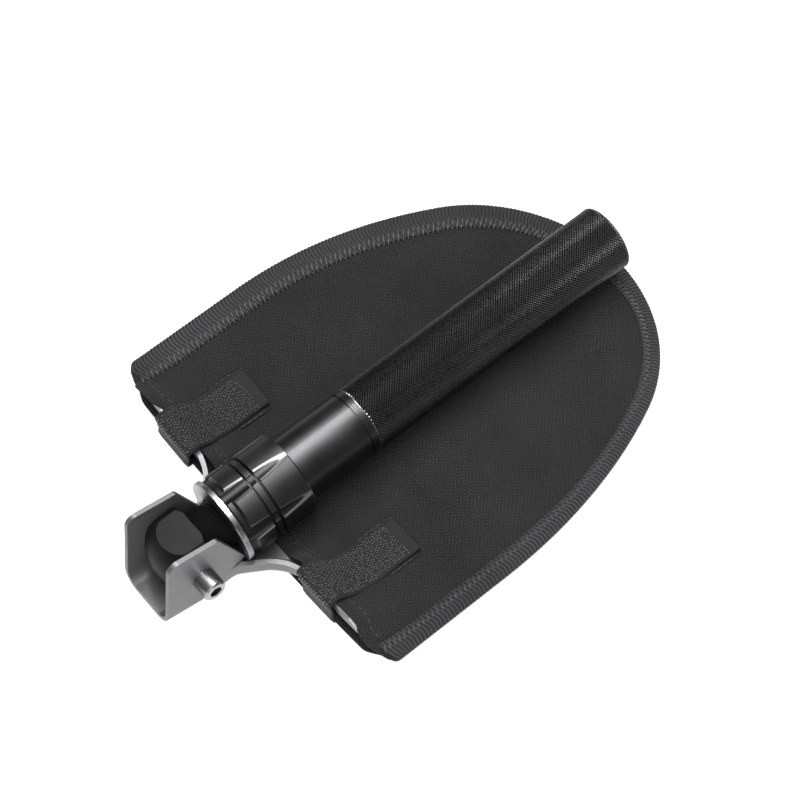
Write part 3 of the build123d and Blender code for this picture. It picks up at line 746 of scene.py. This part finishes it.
def make_hem(material, thread):
    """Folded-back edge of the upper layer: a second layer with a rounded front."""
    rings, runs = [], []
    for i in range(HEM_STEPS + 1):
        y = HEM_HALF * (2 * i / HEM_STEPS - 1)
        ring = []
        for ahead, above in HEM_SECTION:
            x = mouth_line(y) + ahead * MM
            height = top_height(x, y) + above * MM
            ring.append((x, y, drop(y, height)))
        rings.append(ring)
        runs.append(HEM_HALF + y)
    hem = sweep("mouth_fold", rings, runs, material, "blade_body")
    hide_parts("mouth_hem")

    def on_hem(run):
        y = run - HEM_HALF
        x = mouth_line(y) + HEM_GROOVE
        return x, y, drop(y, top_height(x, y) + HEM_STITCH_UP)

    lines = stitched_line(on_hem, 2 * HEM_HALF, HEM_STITCH, STITCH_GAP)
    stitch_mesh("hem_stitches", lines, thread, "blade_body")


# --- straps ---

HOOK_PITCH = 1.2 * MM
HOOK_R = 0.16 * MM
HOOK_HEIGHT = 0.6 * MM
HOOK_MARGIN = 1.6 * MM
HOOK_START = 5 * MM
HOOK_END_SHARE = 0.78
HOOK_LOSS = 0.12
HOOK_JITTER = 0.2
HOOK_SIDE_JITTER = 0.15
HOOK_LEAN = (0.6, 0.95)
# (share of the height, share of the lean) from the hook's foot to its tip
HOOK_SHAPE = ((-0.15, 0.0), (0.6, 0.1), (1.0, 0.5), (0.8, 1.0))


def make_hooks(name, face, runs, draws):
    """Rows of short bent hooks over a strap's upper face, which is a grid of points."""
    lines = []
    columns = len(face[0])
    width = (Vector(face[0][-1]) - Vector(face[0][0])).length
    stop = runs[-1] * HOOK_END_SHARE
    for row in range(int((stop - HOOK_START) / HOOK_PITCH)):
        for column in range(int((width - 2 * HOOK_MARGIN) / HOOK_PITCH)):
            if draws.random() < HOOK_LOSS:
                continue
            run = HOOK_START + (row + draws.uniform(-HOOK_JITTER, HOOK_JITTER)) * HOOK_PITCH
            aside = 0.5 * (row % 2) + draws.uniform(-HOOK_SIDE_JITTER, HOOK_SIDE_JITTER)
            across = HOOK_MARGIN + (column + aside) * HOOK_PITCH
            i = max(k for k, passed in enumerate(runs) if passed <= run)
            share = (run - runs[i]) / (runs[i + 1] - runs[i])
            place = across / width * (columns - 1)
            j = min(max(int(place), 0), columns - 2)
            ends = [Vector(face[k][j]).lerp(Vector(face[k][j + 1]), place - j) for k in (i, i + 1)]
            foot = ends[0].lerp(ends[1], share)
            along = (ends[1] - ends[0]).normalized()
            normal = (Vector(face[i][j + 1]) - Vector(face[i][j])).cross(along).normalized()
            lean = along * draws.uniform(*HOOK_LEAN) * MM
            lines.append([foot + normal * HOOK_HEIGHT * up + lean * out for up, out in HOOK_SHAPE])
    stitch_mesh(name, lines, hook_material(), "blade_body", thick=HOOK_R)


def hook_material():
    shader = Shader("hook_nylon", 0.35)
    # The hooks are toned lighter than the black webbing, as painted glints on them.
    shader.colour(shader.blend(shader.noise(900, 2), (0.1, 0.1, 0.103), (0.3, 0.3, 0.305)))
    return shader.material


STRAP_T = 1.15 * MM
STRAP_LIFT = 1.25 * MM
STRAP_OVER_LIFT = 2.1 * MM
STRAP_OVER_REACH = 12 * MM
STRAP_OVER_RUN = 10 * MM
STRAP_END_LIFT = 0.5 * MM
STRAP_END_RUN = 6 * MM
STRAP_STEPS = 46
STRAP_TOP_REACH = 1.5 * MM
STRAP_BACK_GAP = 1.4 * MM
STRAP_BEND = 2.3 * MM
STRAP_FOOT = 3.2 * MM
STRAP_BULGE = 0.5 * MM
TOE_R = 1.6 * MM
TAIL_RUN = 4.5 * MM
TAIL_DROP = 0.05 * MM
TURN_STEPS = 8
TOE_STEPS = 6
STRAP_SIDE_GAP = 0.9 * MM
STRAP_FLARE = 1.2 * MM
FLARE_HEIGHT = 7 * MM
STRAP_DRIFT = 0.35 * MM
DRIFT_RATE = 75
STRAP_EDGE = 0.55
STRAP_LOWEST = 0.2 * MM
STRAP_ACROSS = (-1, -0.8, -0.55, -0.3, 0, 0.3, 0.55, 0.8, 1)


def strap_top_height(x, y_mid, end_x):
    """Middle of the strap over the upper layer: higher at the flange, its free end a little up."""
    over = smooth((MOUTH_X + STRAP_OVER_REACH - x) / STRAP_OVER_RUN)
    end = smooth((x - end_x + STRAP_END_RUN) / STRAP_END_RUN)
    return top_height(x, y_mid) + STRAP_LIFT + STRAP_OVER_LIFT * over + STRAP_END_LIFT * end


def strap_path(y_mid, end_x, loose):
    """(x, height) points from the free end, over the flange and down its back to the lower layer."""
    path = []
    for i in range(STRAP_STEPS + 1):
        x = end_x + (MOUTH_X + STRAP_TOP_REACH - loose - end_x) * i / STRAP_STEPS
        path.append((x, strap_top_height(x, y_mid, end_x)))
    top = path[-1][1]
    for i in range(1, TURN_STEPS + 1):
        angle = math.pi / 2 * i / TURN_STEPS
        x = MOUTH_X - STRAP_BACK_GAP - loose - STRAP_BEND * math.sin(angle)
        path.append((x, top - STRAP_BEND * (1 - math.cos(angle))))
    back_x, back_top = path[-1]
    for i in range(1, TURN_STEPS + 1):
        share = i / TURN_STEPS
        bulge = STRAP_BULGE * math.sin(math.pi * share)
        path.append((back_x + bulge, back_top + (STRAP_FOOT - back_top) * share))
    for i in range(1, TOE_STEPS + 1):
        angle = math.pi / 2 * i / TOE_STEPS
        path.append((back_x + TOE_R * (1 - math.cos(angle)), STRAP_FOOT - TOE_R * math.sin(angle)))
    path.append((back_x + TAIL_RUN, STRAP_FOOT - TOE_R - TAIL_DROP))
    return path


def make_strap(name, node, material, draws, loose):
    """Webbing strap, slightly wider where it folds over the flange, standing off it by loose."""
    low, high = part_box(node)
    y_mid = (low.y + high.y) / 2
    half = (high.y - low.y) / 2 - STRAP_SIDE_GAP
    path = strap_path(y_mid, high.x, loose)
    tilt = math.asin((abs(y_mid) - FLAT_HALF) / DISH_R)
    side = 1 if y_mid > 0 else -1
    rings, runs = [], []
    run = 0.0
    wobble = draws.uniform(0, math.pi)
    section = [(share, 1) for share in STRAP_ACROSS]
    section += [(share, -1) for share in reversed(STRAP_ACROSS)]
    for i, (x, height) in enumerate(path):
        before = path[max(i - 1, 0)]
        after = path[min(i + 1, len(path) - 1)]
        along = Vector((after[0] - before[0], after[1] - before[1])).normalized()
        normal = (along.y, -along.x)
        if i:
            run += math.hypot(x - before[0], height - before[1])
        drift = STRAP_DRIFT * math.sin(run * DRIFT_RATE + wobble)
        wide = half + STRAP_FLARE * smooth((height - FLARE_HEIGHT) / FLARE_HEIGHT)
        ring = []
        for share, face in section:
            out = face * STRAP_T / 2 * (STRAP_EDGE if abs(share) == 1 else 1.0)
            up = height + normal[1] * out
            aside = share * wide + drift
            point_y = y_mid + aside * math.cos(tilt) - side * (up * math.sin(tilt) - STRAP_SIDE_GAP)
            point_z = drop(y_mid, 0.0) + side * aside * math.sin(tilt) + up * math.cos(tilt)
            ring.append((x + normal[0] * out, point_y, max(point_z, STRAP_LOWEST)))
        rings.append(ring)
        runs.append(run)
    make_hooks(name + "_hooks", [ring[: len(STRAP_ACROSS)] for ring in rings], runs, draws)
    strap = sweep(name, rings, runs, material, "blade_body")
    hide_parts(node)


PATCH_START = 17 * MM
PATCH_END = 1.5 * MM
PATCH_MARGIN = 0.6 * MM
PATCH_STEPS = 24
PATCH_SEAM = 15 * MM
PATCH_STITCH = 2.2 * MM
PATCH_STITCH_UP = 0.75 * MM
# (share of the length, height over the upper layer in mm) round the patch's section
PATCH_SECTION = ((0, 0.28), (0, 0.5), (0.03, 0.62), (0.97, 0.62), (1, 0.5), (1, 0.28))


def make_patches(material, thread, straps):
    """Loop patches under the straps' free ends, a little wider than the straps."""
    for name, node in straps:
        low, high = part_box(node)
        y_mid = (low.y + high.y) / 2
        half = (high.y - low.y) / 2 + PATCH_MARGIN
        start = high.x - PATCH_START
        rings, runs = [], []
        for i in range(PATCH_STEPS + 1):
            y = y_mid + half * (2 * i / PATCH_STEPS - 1)
            ring = []
            for share, above in PATCH_SECTION:
                x = start + share * (PATCH_START - PATCH_END)
                ring.append((x, y, drop(y, top_height(x, y) + above * MM)))
            rings.append(ring)
            runs.append(y - y_mid + half)
        patch = sweep(name, rings, runs, material, "blade_body")
        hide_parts("strap_patches")
        lines = []
        for side in (-1, 1):
            y = y_mid + side * (half - PATCH_MARGIN)

            def beside(run, y=y):
                x = start + run
                return x, y, drop(y, top_height(x, y) + PATCH_STITCH_UP)

            lines += stitched_line(beside, PATCH_SEAM, PATCH_STITCH, STITCH_GAP)
        stitch_mesh(name + "_stitches", lines, thread, "blade_body")


# --- grip ---

CAP_GAP = 0.1 * MM
CAP_HEAD_T = 2.1 * MM


def make_grip(material):
    """Knurled grip tube: diamonds cut into its outside, plain ends, its bore and the cap's seat."""
    start, end = TUBE_LOW.x, TUBE_HIGH.x
    columns = 2 * KNURL_ROUND
    count = 2 * int((end - start - 3 * GRIP_EDGE) / KNURL_LONG)
    step = (end - start - 2 * GRIP_EDGE) / count
    bore = TUBE_R - GRIP_WALL
    cap_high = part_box("end_cap")[1]
    seat_r = cap_high.z - AXIS_Z + CAP_GAP
    seat_x = cap_high.x - CAP_HEAD_T
    profile = [(start, bore, 0), (start, TUBE_R - GRIP_EDGE / 2, 0), (start + GRIP_EDGE / 2, TUBE_R, 0)]
    for i in range(count + 1):
        worked = 1.0 if 0 < i < count else 0.0
        profile.append((start + GRIP_EDGE + i * step, TUBE_R, worked))
    profile += [(end - GRIP_EDGE * 0.35, TUBE_R - GRIP_EDGE * 0.2, 0), (end, TUBE_R - GRIP_EDGE, 0)]
    profile += [(end, seat_r, 0), (seat_x, seat_r, 0), (seat_x, bore, 0)]
    points = []
    for i, (x, radius, worked) in enumerate(profile):
        for j in range(columns):
            angle = 2 * math.pi * j / columns
            r = radius - (KNURL_DEPTH * worked if (i + j) % 2 else 0.0)
            points.append((x, r * math.cos(angle), AXIS_Z + r * math.sin(angle)))
    faces = []
    for i in range(len(profile)):
        after = (i + 1) % len(profile)
        for j in range(columns):
            k = (j + 1) % columns
            a, b = i * columns + j, i * columns + k
            c, d = after * columns + k, after * columns + j
            groove_first = (i + j) % 2 == 1
            faces += [(a, b, c), (a, c, d)] if groove_first else [(a, b, d), (b, c, d)]
    grip = outward(add_mesh("grip_tube", points, faces, material, "handle_body", shade_smooth=False))
    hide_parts("handle_tube")


# --- scene ---

PHOTO_WIDTH = 800
FOCAL_PIXELS = 2215.2
CAMERA_PLACE = Vector((-0.2430, -0.3897, 0.8171))
CAMERA_AZIMUTH = 57.34
CAMERA_ELEVATION = 59.99
CAMERA_ROLL = -7.56
FLOOR_REACH = 6.0
FLOOR_DROP = 0.05 * MM


def make_camera():
    azimuth, elevation = math.radians(CAMERA_AZIMUTH), math.radians(CAMERA_ELEVATION)
    ahead = Vector(
        (
            math.cos(elevation) * math.cos(azimuth),
            math.cos(elevation) * math.sin(azimuth),
            -math.sin(elevation),
        )
    )
    level = Vector((math.sin(azimuth), -math.cos(azimuth), 0.0))
    upright = level.cross(ahead)
    roll = math.radians(CAMERA_ROLL)
    right = level * math.cos(roll) + upright * math.sin(roll)
    up = upright * math.cos(roll) - level * math.sin(roll)
    data = bpy.data.cameras.new("camera")
    data.sensor_width = 36
    data.lens = data.sensor_width * FOCAL_PIXELS / PHOTO_WIDTH
    data.clip_start = 0.01
    camera = bpy.data.objects.new("camera", data)
    bpy.context.scene.collection.objects.link(camera)
    turn = Matrix((right, up, -ahead)).transposed()
    camera.matrix_world = Matrix.Translation(CAMERA_PLACE) @ turn.to_4x4()
    bpy.context.scene.camera = camera


def make_light(name, place, target, size, power, diffuse=True, glossy=True):
    data = bpy.data.lights.new(name, "AREA")
    data.shape = "RECTANGLE"
    data.size, data.size_y = size
    data.energy = power
    light = bpy.data.objects.new(name, data)
    bpy.context.scene.collection.objects.link(light)
    light.location = place
    light.visible_diffuse = diffuse
    light.visible_glossy = glossy
    light.rotation_euler = (Vector(target) - Vector(place)).to_track_quat("-Z", "X").to_euler()


def make_studio():
    floor = bpy.data.meshes.new("floor")
    corners = [(x * FLOOR_REACH, y * FLOOR_REACH, 0) for x, y in ((-1, -1), (1, -1), (1, 1), (-1, 1))]
    floor.from_pydata(corners, [], [(0, 1, 2, 3)])
    floor.materials.append(floor_material())
    ground = bpy.data.objects.new("floor", floor)
    bpy.context.scene.collection.objects.link(ground)
    ground.location.z = -FLOOR_DROP
    world = bpy.data.worlds.new("studio")
    world.use_nodes = True
    background = world.node_tree.nodes["Background"]
    background.inputs["Color"].default_value = (1, 1, 1, 1)
    background.inputs["Strength"].default_value = 0.2
    bpy.context.scene.world = world
    make_light("overhead", place=(0.05, 0.03, 1.1), target=(0.02, 0, 0), size=(1.3, 0.16), power=6.5)
    make_light(
        "streak", place=(0.05, 0.05, 0.9), target=(0.02, 0, 0), size=(1.0, 0.09), power=24, diffuse=False
    )
    make_light("soft", place=(-0.1, -0.2, 1.3), target=(0, 0, 0), size=(1.4, 1.4), power=5.5, glossy=False)
    make_light("fill", place=(-0.5, -0.95, 0.75), target=(0, 0, 0), size=(0.8, 0.8), power=5)
    bpy.context.scene.view_settings.view_transform = "Standard"


def dress_nodes():
    """Node materials for the CAD pieces that stay in view."""
    steel = turned_steel("washer_steel", (0.17, 0.17, 0.175), (0.27, 0.27, 0.275), 0.3, 0.45 * MM)
    satin = black_finish("anodised_black", (0.022, 0.022, 0.0225), 0.34, 0.85, 1900, 0.1 * MM)
    matte = black_finish("knuckle_black", (0.007, 0.007, 0.0075), 0.5, 0.0, 1200, 0.08 * MM)
    matte.node_tree.nodes["Principled BSDF"].inputs["Specular IOR Level"].default_value = 0.1
    zinc = plain_finish("zinc_steel", (0.6, 0.61, 0.63), 0.3, 1.0)
    rubber = plain_finish("ring_rubber", (0.015, 0.015, 0.015), 0.6)
    cap = plain_finish("cap_black", (0.02, 0.02, 0.021), 0.35)
    looks = {
        "blade": paint_blade(),
        "pivot_screw": plate_screw(),
        "pivot_nut": zinc,
        "nut_washer": zinc,
        "ferrule_pin": zinc,
        "side_shims": zinc,
        "nut_insert": plain_finish("insert_nylon", (0.72, 0.73, 0.7), 0.5),
        "pivot_bush": plain_finish("bush_bronze", (0.6, 0.44, 0.24), 0.35, 1.0),
        "knuckle": matte,
        "lock_washer": steel,
        "lock_collar": collar_finish(),
        "ferrule": satin,
        "ferrule_ring": rubber,
        "end_cap_ring": rubber,
        "end_cap": cap,
    }
    for node, look in looks.items():
        for mesh_slot in nodes[node].material_slots:
            mesh_slot.material = look


def main():
    draws = random.Random(7)
    dress_nodes()
    thread = thread_material()
    panel = cloth_panel()
    make_panels(panel)
    make_tape(strip_cloth("edge_tape", (0.1, 0.101, 0.106), RIB_PITCH, 0.6 * MM, ribbed=True).material)
    make_tape_stitches(thread)
    make_hem(panel, thread)
    webbing = strip_cloth("strap_webbing", (0.05, 0.05, 0.053), 0.85 * MM, 0.85 * MM).material
    make_strap("strap_front", "strap_near", webbing, draws, 1.2 * MM)
    make_strap("strap_rear", "strap_far", webbing, draws, 3 * MM)
    patch_cloth = strip_cloth("loop_patch", (0.028, 0.028, 0.03), 0.8 * MM, 0.8 * MM).material
    make_patches(patch_cloth, thread, (("patch_front", "strap_near"), ("patch_rear", "strap_far")))
    make_grip(knurl_finish())
    make_studio()
    make_camera()


main()
bpy.context.view_layer.update()
